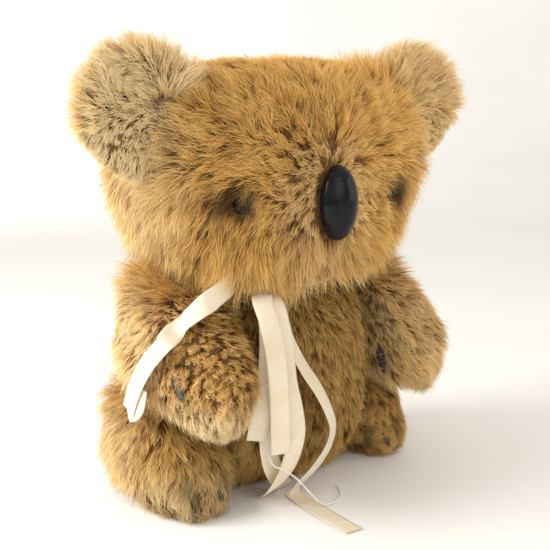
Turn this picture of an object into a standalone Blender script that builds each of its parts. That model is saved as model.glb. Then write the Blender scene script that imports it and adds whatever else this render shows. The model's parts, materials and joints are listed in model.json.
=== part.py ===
"""A disc-jointed koala toy in real fur, sitting up, with loose ribbons at its neck.

It faces -Y, its left side is +X, and it sits on the XY plane. Its hides are thin shells round
wadding. The head, arms and legs turn on split pins, each through two boards and two washers.
"""

import math

import bmesh
import bpy
from mathutils import Matrix, Vector

# Thicknesses and clearances, in metres.
HIDE = 0.0025
GAP = 0.0003
SEGMENTS = 18
RINGS = 11

# Torso: half sizes, the height of its middle, the flat flanks and how far its back leans.
TORSO_HALF = Vector((0.058, 0.047, 0.066))
TORSO_MID = 0.060
TORSO_TOP = 0.120
FLANK = 0.0463
LEAN = 0.1

# Head: half sizes, with the crown's and the chin's half heights apart.
HEAD_CENTRE = Vector((0.0, -0.012, 0.178))
HEAD_HALF = Vector((0.094, 0.046, 0.062))
CHIN_HALF = 0.064
HEAD_DETAIL = (28, 17)
MUZZLE_REACH = 0.0080
MUZZLE_HALF = (0.026, 0.030)

# Ears, nose and eyes.
EAR_CENTRE = Vector((0.095, -0.029, 0.216))
EAR_HALF = Vector((0.033, 0.013, 0.030))
EAR_DISH = 0.009
NOSE_HALF = Vector((0.0120, 0.0115, 0.0205))
NOSE_HEIGHT = 0.168
EYE_SPREAD = 0.053
EYE_HEIGHT = 0.170
EYE_RADIUS = 0.0055
EYE_DOME = 0.0041
EYE_SHANK = 0.0016
EYE_WASHER = 0.0050
NOSE_SHANK = 0.0022
NOSE_WASHER = 0.0080
SHANK_LENGTH = 0.0100
EYE_LOCK_SET = 0.0013
NOSE_LOCK_SET = 0.0034
WASHER_ROOM = 0.0010
BORE_REACH = 0.0120

# Joints: pivots, and the boards, washers and split pins that hold them.
NECK = Vector((0.0, -0.012, TORSO_TOP))
SHOULDER = Vector((FLANK, -0.004, 0.099))
HIP = Vector((FLANK, 0.008, 0.0355))
BOARD_RADIUS = {"neck": 0.0155, "shoulder": 0.0130, "hip": 0.0145}
BOARD_THICK = 0.003
WASHER_RADIUS = 0.0065
WASHER_THICK = 0.001
PIN_HOLE = 0.0023
PIN_WIRE = 0.0008
PIN_CURL = 0.0028
PIN_EYE = 0.0026
PIN_ROOM = 0.0090
PIN_DEPTH = 0.0085

# Limbs: a bent centre line in the YZ plane, half depths at both ends, how far the middle
# swells, and the offset and half width across.
ARM = {
    "line": ((0.027, 0.102), (-0.012, 0.105), (-0.070, 0.062)),
    "depth": (0.0285, 0.028),
    "swell": -0.0020,
    "offset": (0.063, 0.071),
    "width": (0.028, 0.024),
}
LEG = {
    "line": ((0.040, 0.0350), (0.002, 0.0370), (-0.042, 0.0050)),
    "depth": (0.0375, 0.014),
    "swell": 0.0040,
    "offset": (0.063, 0.072),
    "width": (0.028, 0.023),
}

# Claws: flat drops of leather, each at a place, with its tip's direction and its face's.
CLAW_HALF = Vector((0.0034, 0.0008, 0.0085))
CLAWS = {
    "paw_outer": ((0.0932, -0.0520, 0.0800), (0.10, -0.55, -0.80), (0.90, -0.40, 0.15)),
    "paw_inner": ((0.0447, -0.0585, 0.0700), (-0.05, -0.35, -0.93), (-1.0, -0.10, 0.05)),
    "foot_outer": ((0.0890, -0.0290, 0.0160), (0.25, -0.70, -0.60), (0.80, -0.60, 0.30)),
    "foot_inner": ((0.0640, -0.0420, 0.0145), (-0.05, -0.80, -0.60), (0.05, -0.80, 0.75)),
}

# Ribbons: 11 mm satin. Each route is (place, direction across the ribbon).
RIBBON_WIDTH = 0.011
RIBBON_THICK = 0.0008
COLLAR_RADIUS = 0.0345
COLLAR_HEIGHT = 0.1214
COLLAR_HALF = (0.0015, 0.0013)
KNOT_CENTRE = Vector((-0.0275, -0.0410, 0.1188))
KNOT_HALF = Vector((0.0075, 0.0090, 0.0048))
SIDEWAYS = (0.95, -0.30, 0.0)
RIBBONS = {
    "ribbon_over_arm": (
        ((-0.0905, -0.0370, 0.1074), (-0.45, 0.45, 0.70)),
        ((-0.0965, -0.0330, 0.0990), (-0.20, 0.75, 0.60)),
        ((-0.0985, -0.0260, 0.0880), (0.0, 0.88, 0.45)),
        ((-0.0985, -0.0170, 0.0755), (0.0, 0.90, 0.40)),
        ((-0.0985, -0.0090, 0.0635), (0.0, 0.90, 0.40)),
        ((-0.0985, -0.0070, 0.0560), (0.0, 0.92, 0.38)),
    ),
    "ribbon_tail_main": (
        ((-0.0325, -0.0525, 0.1130), SIDEWAYS),
        ((-0.0320, -0.0600, 0.0970), SIDEWAYS),
        ((-0.0310, -0.0635, 0.0750), SIDEWAYS),
        ((-0.0305, -0.0640, 0.0550), SIDEWAYS),
        ((-0.0310, -0.0640, 0.0370), SIDEWAYS),
    ),
    "ribbon_tail_side": (
        ((-0.0355, -0.0500, 0.1080), SIDEWAYS),
        ((-0.0372, -0.0535, 0.0950), SIDEWAYS),
        ((-0.0378, -0.0555, 0.0750), SIDEWAYS),
        ((-0.0378, -0.0545, 0.0580), SIDEWAYS),
        ((-0.0378, -0.0530, 0.0440), SIDEWAYS),
    ),
    "ribbon_loop": (
        ((-0.0290, -0.0600, 0.1100), SIDEWAYS),
        ((-0.0270, -0.0675, 0.0930), SIDEWAYS),
        ((-0.0235, -0.0700, 0.0700), SIDEWAYS),
        ((-0.0215, -0.0715, 0.0450), (0.97, -0.24, 0.0)),
        ((-0.0240, -0.0660, 0.0230), (0.97, -0.15, 0.15)),
        ((-0.0290, -0.0500, 0.0080), (0.96, 0.05, 0.20)),
        ((-0.0330, -0.0400, 0.0030), (0.96, 0.20, 0.05)),
    ),
    "ribbon_floor_tail": (
        ((-0.0195, -0.0545, 0.1130), (0.70, -0.70, 0.0)),
        ((-0.0135, -0.0625, 0.0960), (0.45, -0.89, 0.0)),
        ((-0.0050, -0.0650, 0.0750), (0.25, -0.97, 0.0)),
        ((0.0010, -0.0640, 0.0500), (0.20, -0.98, 0.0)),
        ((-0.0010, -0.0620, 0.0270), (0.60, -0.80, 0.0)),
        ((-0.0070, -0.0600, 0.0110), (0.95, -0.25, 0.10)),
        ((-0.0110, -0.0660, 0.0030), (1.0, 0.0, 0.05)),
        ((-0.0130, -0.0780, 0.0008), (1.0, 0.05, 0.0)),
        ((-0.0160, -0.1080, 0.0008), (1.0, 0.05, 0.0)),
    ),
}

# The swing tag's thread, tied to the side tail's end: its route, read as one smooth curve.
THREAD_RADIUS = 0.0004
THREAD_POINTS = 26
THREAD_ROUTE = (
    (-0.0400, -0.0600, 0.0425),
    (-0.0440, -0.0630, 0.0360),
    (-0.0430, -0.0660, 0.0300),
    (-0.0380, -0.0685, 0.0270),
    (-0.0300, -0.0710, 0.0200),
    (-0.0220, -0.0735, 0.0100),
    (-0.0150, -0.0750, 0.0030),
    (-0.0040, -0.0745, 0.0022),
    (0.0060, -0.0660, 0.0006),
    (0.0120, -0.0560, 0.0006),
)

SIDES = (("left", 1.0), ("right", -1.0))

COLOURS = {
    "fur": ((0.45, 0.27, 0.12), 0.9, 0.0),
    "wadding": ((0.80, 0.74, 0.62), 0.95, 0.0),
    "hardboard": ((0.33, 0.21, 0.12), 0.8, 0.0),
    "steel": ((0.60, 0.60, 0.58), 0.35, 1.0),
    "black_plastic": ((0.010, 0.010, 0.012), 0.08, 0.0),
    "leather": ((0.045, 0.025, 0.020), 0.55, 0.0),
    "satin": ((0.86, 0.80, 0.68), 0.4, 0.0),
    "thread": ((0.88, 0.87, 0.83), 0.8, 0.0),
}


def clear_scene():
    for item in list(bpy.data.objects):
        bpy.data.objects.remove(item)


def new_collection(name):
    group = bpy.data.collections.new(name)
    bpy.context.scene.collection.children.link(group)
    return group


def make_materials():
    made = {}
    for name, (colour, roughness, metallic) in COLOURS.items():
        material = bpy.data.materials.new(name)
        material.use_nodes = True
        shader = material.node_tree.nodes["Principled BSDF"]
        shader.inputs["Base Color"].default_value = (*colour, 1.0)
        shader.inputs["Roughness"].default_value = roughness
        shader.inputs["Metallic"].default_value = metallic
        made[name] = material
    return made


def to_mesh(name, bm):
    bmesh.ops.recalc_face_normals(bm, faces=bm.faces)
    mesh = bpy.data.meshes.new(name)
    bm.to_mesh(mesh)
    bm.free()
    mesh.shade_smooth()
    mesh.set_sharp_from_angle(angle=math.radians(35))
    return mesh


def add_pivot(name, place):
    """An empty on a body's joint axis. It carries all of that body's sub-parts."""
    pivot = bpy.data.objects.new(f"{name}_pivot", None)
    pivot.location = place
    PARTS.objects.link(pivot)
    return pivot


def make_pivots():
    pivots = {
        "torso": add_pivot("torso", Vector((0.0, 0.0, 0.0))),
        "head": add_pivot("head", NECK),
    }
    for limb, place in (("arm", SHOULDER), ("leg", HIP)):
        for label, side in SIDES:
            name = f"{limb}_{label}"
            pivots[name] = add_pivot(name, mirrored(place, side))
    return pivots


def mirrored(place, side):
    return Vector((side * place[0], place[1], place[2]))


def add_part(name, mesh, material, body):
    """Adds a sub-part to a body. Its mesh comes in world axes."""
    part = bpy.data.objects.new(name, mesh)
    mesh.transform(Matrix.Translation(-BODIES[body].location))
    part.parent = BODIES[body]
    mesh.materials.clear()
    mesh.materials.append(MATERIALS[material])
    PARTS.objects.link(part)
    return part


def add_cutter(name, mesh):
    cutter = bpy.data.objects.new(name, mesh)
    cutter.hide_render = True
    cutter.display_type = "WIRE"
    CUTTERS.objects.link(cutter)
    return cutter


def combine(part, tool, operation):
    boolean = part.modifiers.new(tool.name, "BOOLEAN")
    boolean.operation = operation
    boolean.solver = "EXACT"
    boolean.object = tool


def cut(part, cutter):
    combine(part, cutter, "DIFFERENCE")


def join(part, addition):
    combine(part, addition, "UNION")


def mix(ends, t):
    return ends[0] + (ends[1] - ends[0]) * t


def taper(height, power):
    """The sideways reach of a superellipse at a fraction of its half height."""
    return (1.0 - min(1.0, abs(height)) ** power) ** (1.0 / power)


def squarish(unit, power):
    """Moves a unit sphere's sideways direction on to a superellipse outline."""
    reach = math.hypot(unit.x, unit.y)
    if reach < 1e-6:
        return 0.0, 0.0
    across = math.copysign(abs(unit.x / reach) ** (2.0 / power), unit.x)
    along = math.copysign(abs(unit.y / reach) ** (2.0 / power), unit.y)
    return across, along


def torso_shape(unit):
    across, along = squarish(unit, 3.0)
    z = TORSO_MID + TORSO_HALF.z * unit.z
    x = TORSO_HALF.x * taper(unit.z, 4.0) * across
    y = TORSO_HALF.y * taper(unit.z, 2.4) * along - LEAN * z
    return Vector((x, y, z))


def muzzle(x, z):
    """How far the face stands forward round the nose."""
    across, up = x / MUZZLE_HALF[0], (z - NOSE_HEIGHT) / MUZZLE_HALF[1]
    return MUZZLE_REACH * math.exp(-across * across - up * up)


def head_shape(unit):
    """A wide crown over a low muzzle and cheeks that slope in to a round neck."""
    across, along = squarish(unit, 2.5)
    half_height = HEAD_HALF.z if unit.z > 0.0 else CHIN_HALF
    wide, deep = (3.0, 3.0) if unit.z > 0.0 else (1.5, 2.4)
    offset = Vector((
        HEAD_HALF.x * taper(unit.z, wide) * across,
        HEAD_HALF.y * taper(unit.z, deep) * along,
        half_height * unit.z,
    ))
    place = HEAD_CENTRE + offset
    if unit.y < 0.0:
        place.y -= muzzle(place.x, place.z)
    return place


def limb_shape(limb, side):
    """A sausage along the limb's bent centre line, for the left (+1) or right (-1) side."""
    start, bend, tip = (Vector(point) for point in limb["line"])

    def shape(unit):
        t = (unit.z + 1.0) / 2.0
        centre = start * (1 - t) ** 2 + bend * 2 * t * (1 - t) + tip * t * t
        run = ((bend - start) * (1 - t) + (tip - bend) * t).normalized()
        across, along = squarish(unit, 2.5)
        round_end = taper(unit.z, 2.4)
        depth = (mix(limb["depth"], t) + limb["swell"] * 4 * t * (1 - t)) * round_end * along
        x = mix(limb["offset"], t) + mix(limb["width"], t) * round_end * across
        return Vector((side * x, centre.x - run.y * depth, centre.y + run.x * depth))

    return shape


def ear_shape(side):
    """A round ear, domed behind and dished in front."""

    def shape(unit):
        dish = EAR_DISH * (1.0 - unit.x**2 - unit.z**2) if unit.y < 0.0 else 0.0
        offset = Vector((
            EAR_HALF.x * unit.x,
            EAR_HALF.y * unit.y + dish,
            EAR_HALF.z * unit.z,
        ))
        centre = Vector((side * EAR_CENTRE.x, EAR_CENTRE.y, EAR_CENTRE.z))
        return centre + offset

    return shape


def round_mesh(name, shape, inset=0.0, flats=(), segments=SEGMENTS, rings=RINGS):
    """A unit sphere moved on to a shape, drawn in by inset and cut along flat planes."""
    bm = bmesh.new()
    bmesh.ops.create_uvsphere(bm, u_segments=segments, v_segments=rings, radius=1.0)
    for vert in bm.verts:
        vert.co = shape(vert.co.copy())
    bmesh.ops.triangulate(bm, faces=bm.faces)
    bm.normal_update()
    bmesh.ops.recalc_face_normals(bm, faces=bm.faces)
    bm.normal_update()
    drawn_in = [vert.co - vert.normal * inset * vert.calc_shell_factor() for vert in bm.verts]
    for vert, place in zip(bm.verts, drawn_in):
        vert.co = place
    for point, normal in flats:
        outward = Vector(normal)
        bmesh.ops.bisect_plane(
            bm,
            geom=bm.verts[:] + bm.edges[:] + bm.faces[:],
            dist=1e-7,
            plane_co=Vector(point) - outward * inset,
            plane_no=outward,
            clear_outer=True,
        )
        bmesh.ops.holes_fill(bm, edges=[edge for edge in bm.edges if edge.is_boundary])
    return to_mesh(name, bm)


def turned(name, profile, steps=16):
    """A solid of revolution about local Z, from (radius, height) points down its outside."""
    bm = bmesh.new()
    verts = [bm.verts.new((radius, 0.0, height)) for radius, height in profile]
    for first, second in zip(verts, verts[1:]):
        bm.edges.new((first, second))
    if profile[0][0] > 1e-6:
        bm.edges.new((verts[-1], verts[0]))
    bmesh.ops.spin(
        bm,
        geom=bm.verts[:] + bm.edges[:],
        cent=(0.0, 0.0, 0.0),
        axis=(0.0, 0.0, 1.0),
        angle=math.tau,
        steps=steps,
        use_merge=True,
    )
    bmesh.ops.remove_doubles(bm, verts=bm.verts, dist=1e-6)
    return to_mesh(name, bm)


def ring_profile(outer, inner, low, high):
    return ((outer, high), (outer, low), (inner, low), (inner, high))


def post_profile(radius, high, low):
    return ((0.0, high), (radius, high), (radius, low), (0.0, low))


def frame_of(direction, face=None):
    """A rotation whose Z is direction and whose Y is as near to face as it can be."""
    up = Vector(direction).normalized()
    side = Vector(face) if face is not None else up.orthogonal()
    forward = (side - up * side.dot(up)).normalized()
    across = forward.cross(up)
    return Matrix((across, forward, up)).transposed().to_4x4()


def placed(mesh, place, direction, face=None):
    mesh.transform(Matrix.Translation(place) @ frame_of(direction, face))
    return mesh


def face_surface(x, z):
    """The point on the front of the head at x and z, and the outward direction there."""

    def depth_at(x_at, z_at):
        lift = z_at - HEAD_CENTRE.z
        height = lift / (HEAD_HALF.z if lift > 0.0 else CHIN_HALF)
        wide, deep = (3.0, 3.0) if lift > 0.0 else (1.5, 2.4)
        across = x_at / (HEAD_HALF.x * taper(height, wide))
        round_front = HEAD_HALF.y * taper(height, deep) * taper(across, 2.5)
        return HEAD_CENTRE.y - round_front - muzzle(x_at, z_at)

    step = 0.002
    slope_x = (depth_at(x + step, z) - depth_at(x - step, z)) / (2 * step)
    slope_z = (depth_at(x, z + step) - depth_at(x, z - step)) / (2 * step)
    return Vector((x, depth_at(x, z), z)), Vector((slope_x, -1.0, slope_z)).normalized()


def joint_room(name, radius, place, direction):
    """Room in a hide's wadding for one side's board, washer and pin."""
    stack = HIDE + BOARD_THICK + WASHER_THICK + 4 * GAP
    profile = (
        (0.0, stack + PIN_DEPTH),
        (PIN_ROOM, stack + PIN_DEPTH),
        (PIN_ROOM, stack),
        (radius + 2 * GAP, stack),
        (radius + 2 * GAP, 0.0),
        (0.0, 0.0),
    )
    return add_cutter(name, placed(turned(name, profile), place, direction))


def pin_hole(name, place, direction):
    """A bore through both hides at a joint."""
    profile = post_profile(PIN_HOLE, 2 * HIDE, -2 * HIDE)
    return add_cutter(name, placed(turned(name, profile, 12), place, direction))


def split_pin(name, place, direction):
    """A bent wire: an eye in the limb, two legs through the joint, and curls in the torso."""
    half_gap = PIN_WIRE + GAP / 2
    head = HIDE + BOARD_THICK + WASHER_THICK + 4 * GAP + PIN_WIRE
    turn_in = math.asin(half_gap / PIN_EYE)
    eye_centre = head + PIN_EYE
    half = [(half_gap, -head)]
    for step in range(6):
        angle = turn_in + (math.pi - turn_in) * step / 5
        half.append((PIN_EYE * math.sin(angle), eye_centre - PIN_EYE * math.cos(angle)))
    curl = [(half_gap + 2 * PIN_CURL, -head)]
    for step in range(1, 5):
        angle = math.pi * step / 5
        across = half_gap + PIN_CURL * (1 + math.cos(angle))
        curl.append((across, -head - PIN_CURL * math.sin(angle)))
    right = curl + half
    left = [(-across, height) for across, height in reversed(right[:-1])]
    route = [(across, 0.0, height) for across, height in right + left]
    matrix = Matrix.Translation(place) @ frame_of(direction)
    return tube(name, route, PIN_WIRE, "steel", matrix)


def tube(name, route, radius, material, matrix):
    """A wire or thread of the torso's along a route."""
    curve = bpy.data.curves.new(name, "CURVE")
    curve.dimensions = "3D"
    curve.bevel_depth = radius
    curve.bevel_resolution = 1
    curve.use_fill_caps = True
    spline = curve.splines.new("POLY")
    spline.points.add(len(route) - 1)
    for point, place in zip(spline.points, route):
        point.co = (*place, 1.0)
    guide = bpy.data.objects.new(name + "_line", curve)
    CUTTERS.objects.link(guide)
    bpy.context.view_layer.update()
    evaluated = guide.evaluated_get(bpy.context.evaluated_depsgraph_get())
    bm = bmesh.new()
    bm.from_mesh(bpy.data.meshes.new_from_object(evaluated))
    bpy.data.objects.remove(guide)
    bmesh.ops.remove_doubles(bm, verts=bm.verts, dist=1e-6)
    mesh = to_mesh(name, bm)
    mesh.transform(matrix)
    return add_part(name, mesh, material, "torso")


def smooth_route(points, count):
    """Evenly numbered points along a Catmull-Rom curve through the given points."""
    ends = [Vector(point) for point in points]
    line = [2 * ends[0] - ends[1], *ends, 2 * ends[-1] - ends[-2]]
    route = []
    for step in range(count):
        at = step / (count - 1) * (len(ends) - 1)
        first = min(int(at), len(ends) - 2)
        t = at - first
        a, b, c, d = line[first:first + 4]
        route.append(0.5 * (2 * b + (c - a) * t + (2 * a - 5 * b + 4 * c - d) * t * t
                            + (3 * b - a - 3 * c + d) * t**3))
    return route


def ribbon(name, stations, body):
    """A flat strip lofted through stations of a place and a direction across the strip."""
    places = [Vector(place) for place, _ in stations]
    bm = bmesh.new()
    loops = []
    for index, (place, across) in enumerate(stations):
        before = places[max(0, index - 1)]
        after = places[min(len(places) - 1, index + 1)]
        run = (after - before).normalized()
        side = Vector(across)
        side = (side - run * side.dot(run)).normalized() * RIBBON_WIDTH / 2
        lift = run.cross(side).normalized() * RIBBON_THICK / 2
        corners = (side + lift, lift - side, -side - lift, side - lift)
        loops.append([bm.verts.new(Vector(place) + corner) for corner in corners])
    for near, far in zip(loops, loops[1:]):
        for corner in range(4):
            after = (corner + 1) % 4
            bm.faces.new((near[corner], near[after], far[after], far[corner]))
    bm.faces.new(loops[0])
    bm.faces.new(loops[-1])
    bmesh.ops.triangulate(bm, faces=bm.faces)
    return add_part(name, to_mesh(name, bm), "satin", body)


def make_joint(name, kind, place, direction, moving):
    """One disc joint: a board and a washer on each side, and the split pin through them."""
    outward = Vector(direction)
    board = HIDE + 2 * GAP
    washer = board + BOARD_THICK + GAP
    for side, sign, body in (("outer", 1.0, moving), ("inner", -1.0, "torso")):
        profile = ring_profile(BOARD_RADIUS[kind], PIN_HOLE, board, board + BOARD_THICK)
        mesh = placed(turned(name, profile), place, outward * sign)
        add_part(f"{name}_{side}_board", mesh, "hardboard", body)
        profile = ring_profile(WASHER_RADIUS, PIN_HOLE, washer, washer + WASHER_THICK)
        mesh = placed(turned(name, profile, 12), place, outward * sign)
        add_part(f"{name}_{side}_washer", mesh, "steel", body)
    split_pin(f"{name}_split_pin", place, outward)


def make_stuffed(name, shape, flats, joints, holes=(), rooms=(), detail=(SEGMENTS, RINGS)):
    """A body's hide shell and the wadding inside it, cleared for the joints it takes part in."""
    skin = add_part(f"{name}_hide", round_mesh(name, shape, 0.0, flats, *detail), "fur", name)
    cut(skin, add_cutter(f"{name}_hollow", round_mesh(name, shape, HIDE, flats, *detail)))
    inner = round_mesh(name, shape, HIDE + 2 * GAP, flats, *detail)
    wadding = add_part(f"{name}_wadding", inner, "wadding", name)
    for joint, kind, pivot, inward in joints:
        cut(skin, pin_hole(f"{name}_{joint}_hole", pivot, inward))
        room = joint_room(f"{name}_{joint}_room", BOARD_RADIUS[kind], pivot, inward)
        cut(wadding, room)
    for hole in holes:
        cut(skin, hole)
    for room in rooms:
        cut(wadding, room)


def shank_cutters(name, place, outward, shank, washer):
    """A bore for a shank through the hide, and the room behind it for its lock washer."""
    bore = post_profile(shank + GAP, BORE_REACH, -BORE_REACH)
    room = post_profile(washer + WASHER_ROOM, BORE_REACH, -BORE_REACH)
    hole = add_cutter(f"{name}_bore", placed(turned(name, bore, 12), place, outward))
    pocket = add_cutter(f"{name}_room", placed(turned(name, room, 16), place, outward))
    return hole, pocket


def lock_washer(name, shank, radius, set_back, place, outward):
    """A washer on a shank, set back a little from the inside of the hide."""
    inside = -HIDE - set_back
    profile = ring_profile(radius, shank + GAP, inside - WASHER_THICK, inside)
    mesh = placed(turned(name, profile, 16), place, outward)
    add_part(f"{name}_lock_washer", mesh, "steel", "head")


def make_eye(name, side):
    """A domed plastic eye on a shank, with its lock washer behind the hide."""
    place, outward = face_surface(side * EYE_SPREAD, EYE_HEIGHT)
    profile = [(0.0, EYE_DOME + GAP)]
    for step in range(1, 6):
        angle = math.pi / 2 * step / 5
        profile.append((EYE_RADIUS * math.sin(angle), EYE_DOME * math.cos(angle) + GAP))
    profile += [(EYE_SHANK, GAP), (EYE_SHANK, -SHANK_LENGTH), (0.0, -SHANK_LENGTH)]
    mesh = placed(turned(name, profile, 16), place, outward)
    add_part(name, mesh, "black_plastic", "head")
    lock_washer(name, EYE_SHANK, EYE_WASHER, EYE_LOCK_SET, place, outward)
    return shank_cutters(name, place, outward, EYE_SHANK, EYE_WASHER)


def make_nose():
    """A tall domed plastic nose on a shank, with its lock washer behind the hide."""
    place, _ = face_surface(0.0, NOSE_HEIGHT)
    outward = Vector((0.0, -1.0, 0.0))
    middle = place + outward * 2 * GAP

    def dome(unit):
        return middle + NOSE_HALF * unit

    flat = (middle, -outward)
    mesh = round_mesh("nose", dome, 0.0, (flat,), 20, 14)
    nose = add_part("nose", mesh, "black_plastic", "head")
    post = turned("nose_stem", post_profile(NOSE_SHANK, NOSE_SHANK, -SHANK_LENGTH), 12)
    join(nose, add_cutter("nose_stem", placed(post, middle, outward)))
    lock_washer("nose", NOSE_SHANK, NOSE_WASHER, NOSE_LOCK_SET, place, outward)
    return shank_cutters("nose", place, outward, NOSE_SHANK, NOSE_WASHER)


def make_head():
    holes_and_rooms = [make_nose()]
    for label, side in SIDES:
        holes_and_rooms.append(make_eye(f"eye_{label}", side))
    neck = NECK + Vector((0.0, 0.0, GAP))
    flats = ((neck, (0.0, 0.0, -1.0)),)
    joints = (("neck", "neck", NECK, (0.0, 0.0, 1.0)),)
    holes = [hole for hole, _ in holes_and_rooms]
    rooms = [room for _, room in holes_and_rooms]
    make_stuffed("head", head_shape, flats, joints, holes, rooms, HEAD_DETAIL)
    around = round_mesh("head_clearance", head_shape, -GAP, flats, *HEAD_DETAIL)
    clearance = add_cutter("head_clearance", around)
    for label, side in SIDES:
        mesh = round_mesh("ear", ear_shape(side), 0.0, (), 16, 12)
        cut(add_part(f"ear_{label}", mesh, "fur", "head"), clearance)


def make_torso():
    top = Vector((0.0, NECK.y, TORSO_TOP - GAP))
    flats = [((0.0, 0.0, 0.0), (0.0, 0.0, -1.0)), (top, (0.0, 0.0, 1.0))]
    joints = [("neck", "neck", NECK, (0.0, 0.0, -1.0))]
    for label, side in SIDES:
        flats.append(((side * (FLANK - GAP), 0.0, 0.0), (side, 0.0, 0.0)))
        for kind, pivot in (("shoulder", SHOULDER), ("hip", HIP)):
            joints.append((f"{kind}_{label}", kind, mirrored(pivot, side), (-side, 0.0, 0.0)))
    make_stuffed("torso", torso_shape, flats, joints)


def make_limb(name, limb, kind, pivot, side, flats):
    """A stuffed limb with a flat inner side. Returns the room that it takes up."""
    inner = ((side * (FLANK + GAP), 0.0, 0.0), (-side, 0.0, 0.0))
    joints = ((kind, kind, mirrored(pivot, side), (side, 0.0, 0.0)),)
    shape = limb_shape(limb, side)
    make_stuffed(name, shape, (inner, *flats), joints)
    clearance = round_mesh(f"{name}_clearance", shape, -GAP, (inner, *flats))
    return add_cutter(f"{name}_clearance", clearance)


def make_claw(name, body, side, place, point, face, clearance):
    """A flat leather drop, narrow at its tip and cut back where it meets its limb's hide."""

    def drop(unit):
        narrow = 1.0 - 0.45 * unit.z
        return CLAW_HALF * Vector((unit.x * narrow, unit.y, unit.z))

    mesh = round_mesh(name, drop, 0.0, (), 8, 6)
    where, along, outward = (mirrored(vector, side) for vector in (place, point, face))
    cut(add_part(name, placed(mesh, where, along, outward), "leather", body), clearance)


def make_collar():
    """The ribbon's gathered band round the neck, with its knot in front."""
    profile = []
    for step in range(6):
        angle = math.pi / 6 - math.tau * step / 6
        across = COLLAR_RADIUS + COLLAR_HALF[0] * math.cos(angle)
        profile.append((across, COLLAR_HALF[1] * math.sin(angle)))
    middle = Vector((NECK.x, NECK.y, COLLAR_HEIGHT))
    ring = placed(turned("collar", profile, 24), middle, (0.0, 0.0, 1.0))
    band = add_part("ribbon_collar", ring, "satin", "torso")

    def knot_shape(unit):
        return KNOT_CENTRE + KNOT_HALF * unit

    join(band, add_cutter("knot", round_mesh("knot", knot_shape, 0.0, (), 12, 8)))
    top = ((NECK - Vector((0.0, 0.0, GAP)), (0.0, 0.0, 1.0)),)
    clearance = round_mesh("torso_clearance", torso_shape, -GAP, top)
    cut(band, add_cutter("torso_clearance", clearance))


def make_thread():
    route = smooth_route(THREAD_ROUTE, THREAD_POINTS)
    tube("tag_thread", route, THREAD_RADIUS, "thread", Matrix.Identity(4))


def build():
    make_torso()
    make_head()
    make_joint("neck", "neck", NECK, (0.0, 0.0, 1.0), "head")
    sole = ((0.0, 0.0, 0.0), (0.0, 0.0, -1.0))
    for label, side in SIDES:
        arm = f"arm_{label}"
        leg = f"leg_{label}"
        outward = (side, 0.0, 0.0)
        arm_room = make_limb(arm, ARM, "shoulder", SHOULDER, side, ())
        leg_room = make_limb(leg, LEG, "hip", HIP, side, (sole,))
        make_joint(f"shoulder_{label}", "shoulder", mirrored(SHOULDER, side), outward, arm)
        make_joint(f"hip_{label}", "hip", mirrored(HIP, side), outward, leg)
        for claw, (place, point, face) in CLAWS.items():
            end, where = claw.split("_")
            body, room = (arm, arm_room) if end == "paw" else (leg, leg_room)
            make_claw(f"claw_{end}_{label}_{where}", body, side, place, point, face, room)
    make_collar()
    for name, stations in RIBBONS.items():
        ribbon(name, stations, "arm_right" if name == "ribbon_over_arm" else "torso")
    make_thread()


clear_scene()
PARTS = new_collection("jointed_koala")
CUTTERS = new_collection("cutters")
BODIES = make_pivots()
MATERIALS = make_materials()
build()
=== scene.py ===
"""The looks of the jointed koala: fur grown strand by strand, satin ribbons, gloss and leather."""

import json
import math

import bmesh
import bpy
import numpy as np
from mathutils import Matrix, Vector
from mathutils.bvhtree import BVHTree


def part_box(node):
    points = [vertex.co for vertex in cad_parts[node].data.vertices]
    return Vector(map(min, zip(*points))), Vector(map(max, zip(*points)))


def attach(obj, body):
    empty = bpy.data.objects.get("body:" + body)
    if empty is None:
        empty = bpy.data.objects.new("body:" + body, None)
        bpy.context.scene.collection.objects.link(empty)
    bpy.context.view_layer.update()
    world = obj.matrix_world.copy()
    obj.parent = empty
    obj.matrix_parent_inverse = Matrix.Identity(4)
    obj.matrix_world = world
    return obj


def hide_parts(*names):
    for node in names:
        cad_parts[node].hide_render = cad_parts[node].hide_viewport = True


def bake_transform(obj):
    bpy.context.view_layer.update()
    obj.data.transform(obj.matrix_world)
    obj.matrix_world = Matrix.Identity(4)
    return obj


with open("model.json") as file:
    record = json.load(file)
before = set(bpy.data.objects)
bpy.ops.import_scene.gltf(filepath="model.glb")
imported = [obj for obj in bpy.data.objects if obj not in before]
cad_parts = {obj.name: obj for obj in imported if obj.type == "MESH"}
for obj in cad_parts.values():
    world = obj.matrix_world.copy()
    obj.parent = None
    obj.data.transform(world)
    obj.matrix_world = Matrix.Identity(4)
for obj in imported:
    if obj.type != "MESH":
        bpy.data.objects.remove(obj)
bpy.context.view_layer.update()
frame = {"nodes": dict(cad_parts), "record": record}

# The camera: where it stands, what it looks at and its lens, in metres and millimetres.
CAMERA_PLACE = Vector((-0.3600, -0.4587, 0.2359))
CAMERA_TARGET = Vector((-0.0078, -0.0237, 0.1230))
CAMERA_LENS = 65.45

# The swing tag's thread: the route of its CAD solid, repeated.
THREAD_DIAMETER = 0.0008
THREAD_POINTS = 60
THREAD_ROUTE = (
    (-0.0400, -0.0600, 0.0425),
    (-0.0440, -0.0630, 0.0360),
    (-0.0430, -0.0660, 0.0300),
    (-0.0380, -0.0685, 0.0270),
    (-0.0300, -0.0710, 0.0200),
    (-0.0220, -0.0735, 0.0100),
    (-0.0150, -0.0750, 0.0030),
    (-0.0040, -0.0745, 0.0022),
    (0.0060, -0.0660, 0.0006),
    (0.0120, -0.0560, 0.0006),
)

# Hides: how finely each is cast from its CAD solid, and how thick its shell is.
SKIN_DETAIL = 5
SKIN_SMOOTHING = 6
HIDE_THICK = 0.0022

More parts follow.
